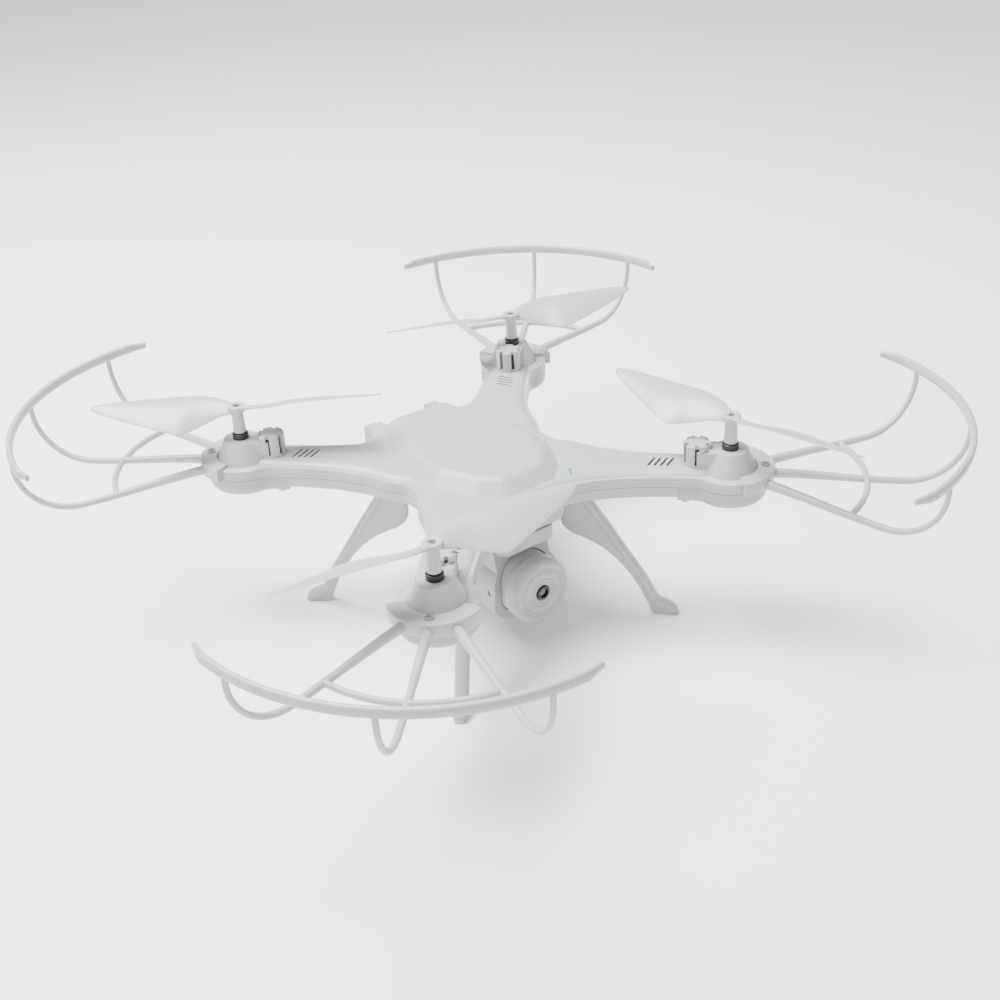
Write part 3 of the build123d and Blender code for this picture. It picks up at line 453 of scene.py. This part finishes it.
def blade_grid(mirrored):
    """One blade along +X, in sections that run from its leading edge to its trailing edge.

    At share t of the way across, the height is the straight line between the edges, plus
    arch x width x t (1 - t), plus or minus half the thickness x sqrt(4 t (1 - t)) x (1.15 - 0.3 t).
    Past tip_start the section shrinks as the square root of 1 - ((x - tip_start) / tip_length)^2.
    """
    tip_turn = np.linspace(0, np.pi / 2, 12)[1:]
    span = np.concatenate([np.linspace(station[0], station[-1] - tip_fine, 70),
                           station[-1] - tip_fine * (1 - np.sin(tip_turn))])
    tip = np.sqrt(np.clip(1 - (np.clip(span - tip_start, 0, None) / tip_length) ** 2, 0.02, 1))
    lead, lead_z = through(span, station, lead_edge), through(span, station, lead_rise)
    trail, trail_z = through(span, station, trail_edge), through(span, station, trail_rise)
    thick = through(span, station, blade_thickness) * (0.3 + 0.7 * tip)
    middle = (lead + trail) / 2
    lead, trail = middle + (lead - middle) * tip, middle + (trail - middle) * tip
    turn = np.linspace(0, 2 * np.pi, 40, endpoint=False)
    t = 0.5 - 0.5 * np.cos(turn)
    body = np.sign(np.sin(turn)) * np.sqrt(np.clip(t * (1 - t) * 4, 0, 1)) * (1.15 - 0.3 * t)
    y = lead[:, None] + (trail - lead)[:, None] * t
    z = boss_top + lead_z[:, None] + (trail_z - lead_z)[:, None] * t
    z = z + arch * np.abs(trail - lead)[:, None] * t * (1 - t) + thick[:, None] / 2 * body
    return np.stack([np.broadcast_to(span[:, None], y.shape), -y if mirrored else y, z], -1)


def spun(profile, steps=64):
    """A full turn of a closed profile of (radius, height) about the Z axis."""
    return turned_profile(profile, 0, 360 * (1 - 1 / steps), steps)


# a tapered post with the shaft's bore, and a wider cap with a recess for the screw head
hub_line = np.array([(1.02, 3.1), (3.1, 3.1), (2.7, 13.2), (4.2, 13.8), (4.2, 16.6), (1.7, 16.6),
                     (1.7, 15.3), (1.02, 15.3)]) / 1000
hub_profile = rounded(hub_line + (0, boss_top), 0.0006)
hub = spun(hub_profile)
# which way round each propeller is moulded, and the angle at which it rests
resting = {"front_left": (True, -7.0), "rear_right": (True, -19.0),
           "front_right": (False, 99.5), "rear_left": (False, 146.0)}
for corner, (mirrored, rest) in resting.items():
    centre = joint_place[f"spin_{corner}"] * (1, 1, 0)
    first = blade_grid(mirrored)
    second = first * (-1, -1, 1)
    shells = [(turned(first, rest) + centre, False), (turned(second, rest) + centre, False),
              (turned(hub, rest) + centre, True)]
    blades = mesh_piece(f"propeller_moulding_{corner}", shells, "propeller_white", 40.0)
    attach(blades, f"rotor_{corner}")
    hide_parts(f"propeller_{corner}")

# ---------------------------------------------------------------- landing legs
# Each leg is one moulding in the plane of its arm: a rounded outer strip backed by a thinner web,
# splayed down and out to a toe with a flat sole. A tab at its root snaps through the arm floor.
outer_line = np.array([(46.0, 68.0), (50.0, 61.8), (53.6, 56.2), (57.2, 50.5), (60.9, 44.7),
                       (68.2, 31.4), (75.3, 18.8), (79.0, 12.2), (82.6, 7.2), (87.0, 5.0),
                       (90.4, 2.8), (91.2, 0.5)]) / 1000
inner_line = np.array([(36.0, 68.0), (36.0, 57.0), (36.4, 48.5), (41.0, 43.6), (46.8, 41.0),
                       (55.5, 36.0), (64.0, 27.6), (70.8, 17.6), (75.8, 7.4), (77.6, 2.6),
                       (78.4, 0.9), (79.0, 0.0)]) / 1000
leg_root = 0.068
strip_rows = 103              # the strip stops where the toe takes over
strip_width = 0.0066
strip_depth = 0.0042
web_width = 0.0046
web_share = 0.985             # the web stops just short of the strip's outer face

stage_number = np.arange(len(outer_line), dtype=float)
fine = np.linspace(0, len(outer_line) - 1, 110)
outer_curve = np.stack([through(fine, stage_number, outer_line[:, i]) for i in (0, 1)], -1)
inner_curve = np.stack([through(fine, stage_number, inner_line[:, i]) for i in (0, 1)], -1)
turn = np.linspace(0, 2 * np.pi, 36, endpoint=False)
c = np.sign(np.cos(turn)) * np.abs(np.cos(turn)) ** 0.35
s = np.sign(np.sin(turn)) * np.abs(np.sin(turn)) ** 0.35
middle = (outer_curve + inner_curve) / 2
half = (outer_curve - inner_curve) / 2 * web_share
# the web's section reaches from line to line: middle + half x s, and half its width x c across
web_across = np.broadcast_to(web_width / 2 * c, (len(fine), len(turn)))
web = np.stack([middle[:, :1] + half[:, :1] * s, web_across,
                np.maximum(middle[:, 1:] + half[:, 1:] * s, 0)], -1)
inward = (inner_curve - outer_curve) / np.linalg.norm(inner_curve - outer_curve, axis=1, keepdims=True)
strip_line = outer_curve + inward * strip_depth / 2
strip_path = np.stack([strip_line[:, 0], 0 * fine, strip_line[:, 1]], -1)[:strip_rows]
strip_side = np.broadcast_to([0.0, 1.0, 0.0], strip_path.shape)
strip = carried(strip_path, strip_side, strip_width, strip_depth, 0.75)
strip = np.clip(strip, (-1, -1, 0), (1, 1, leg_root))
for corner, angle in corner_angle.items():
    shells = [(turned(web, angle), False), (turned(strip, angle), False)]
    leg = mesh_piece(f"leg_moulding_{corner}", shells, "body_white")
    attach(leg, "airframe")
    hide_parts(f"landing_leg_{corner}")

# ---------------------------------------------------------------- camera
# The camera head is a thick disc with a ball behind it, held by two pins in a socket under the
# nose. Its face is turned with fine rings round a black barrel and a small glass lens.
camera_face = -0.0435
pivot_y, camera_z = joint_place["camera_tilt"][1:]
ball_radius = 0.0154
ball_front = -0.008           # the ball is cut off flat at both ends, measured from the pivot
ball_back = 0.005
disc_radius = 0.016
disc_back = -0.0360
lens_hole = 0.0035
cavity_radius = 0.0115
face_wall = 0.002
ring_radii = (0.0052, 0.0068, 0.0106, 0.0119)
edge_round = 0.0036
ring_width = 0.0004
ring_depth = 0.0003

# (radius, y) points round the half section: the eased lens hole, the face with its rings, the rounded
# edge, the ball, and the hollow behind the face
face = [(lens_hole, camera_face + 0.0008), (lens_hole + 0.0005, camera_face + 0.0002),
        (lens_hole + 0.0007, camera_face)]
for ring in ring_radii:
    face += [(ring - ring_width, camera_face), (ring, camera_face + ring_depth),
             (ring + ring_width, camera_face)]
edge = np.radians(np.linspace(0, 90, 10))
rim_edge = np.stack([disc_radius - edge_round * (1 - np.sin(edge)),
                     camera_face + edge_round * (1 - np.cos(edge))], -1)
ball = np.linspace(math.asin(ball_front / ball_radius), math.asin(ball_back / ball_radius), 16)
ball_curve = np.stack([ball_radius * np.cos(ball), pivot_y + ball_radius * np.sin(ball)], -1)
inside = [(cavity_radius, pivot_y + ball_back), (cavity_radius, camera_face + face_wall),
          (lens_hole, camera_face + face_wall)]
head_profile = np.vstack([face, rim_edge, [(disc_radius, disc_back)], ball_curve, inside])
head = spun(head_profile, 128)[..., [0, 2, 1]] + (0, 0, camera_z)
camera_head = mesh_piece("camera_face_moulding", [(head, True)], "body_white", 28.0)
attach(camera_head, "camera_unit")
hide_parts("camera_head")

# ---------------------------------------------------------------- floor, light and camera
# A pale floor, a broad overhead light and a softer one from the front, as for a catalogue picture.
floor_mesh = bpy.data.meshes.new("floor")
floor_half = 6.0
floor_corners = [(-floor_half, -floor_half, 0), (floor_half, -floor_half, 0),
                 (floor_half, floor_half, 0), (-floor_half, floor_half, 0)]
floor_mesh.from_pydata(floor_corners, [], [(0, 1, 2, 3)])
floor = bpy.data.objects.new("floor", floor_mesh)
bpy.context.scene.collection.objects.link(floor)
floor_mesh.materials.append(finish_material("pale_floor", (0.93, 0.93, 0.93), 0.9,
                                            drift=0.01, cloud_size=0.5))


def soft_light(name, place, target, size, power):
    """A square area light that faces its target."""
    data = bpy.data.lights.new(name, "AREA")
    data.size = size
    data.energy = power
    light = bpy.data.objects.new(name, data)
    bpy.context.scene.collection.objects.link(light)
    light.location = place
    light.rotation_euler = (Vector(target) - Vector(place)).to_track_quat("-Z", "Y").to_euler()


soft_light("overhead", (-0.25, 0.35, 1.2), (0, 0, 0.05), 0.8, 62)
soft_light("front_left", (-1.2, -0.9, 0.7), (0, 0, 0.05), 0.8, 5)
world = bpy.data.worlds.new("studio")
bpy.context.scene.world = world
world.use_nodes = True
world.node_tree.nodes["Background"].inputs["Color"].default_value = (1, 1, 1, 1)
world.node_tree.nodes["Background"].inputs["Strength"].default_value = 0.85

azimuth, elevation, roll = (math.radians(a) for a in (-35.388, 29.82, -3.207))
distance = 0.63112
back = Vector((math.sin(azimuth) * math.cos(elevation), -math.cos(azimuth) * math.cos(elevation),
               math.sin(elevation)))
right = Vector((math.cos(azimuth), math.sin(azimuth), 0))
up = back.cross(right)
aim = Vector((0, 0, boss_top)) + right * 0.0079062 - up * 0.0266169
lens = bpy.data.cameras.new("viewpoint")
lens.lens = 50.03
lens.sensor_width = 36.0
lens.clip_start = 0.01
viewpoint = bpy.data.objects.new("viewpoint", lens)
bpy.context.scene.collection.objects.link(viewpoint)
tilted_right = right * math.cos(roll) + up * math.sin(roll)
tilted_up = up * math.cos(roll) - right * math.sin(roll)
axes = Matrix((tilted_right, tilted_up, back)).transposed().to_4x4()
viewpoint.matrix_world = Matrix.Translation(aim + back * distance) @ axes
bpy.context.scene.camera = viewpoint
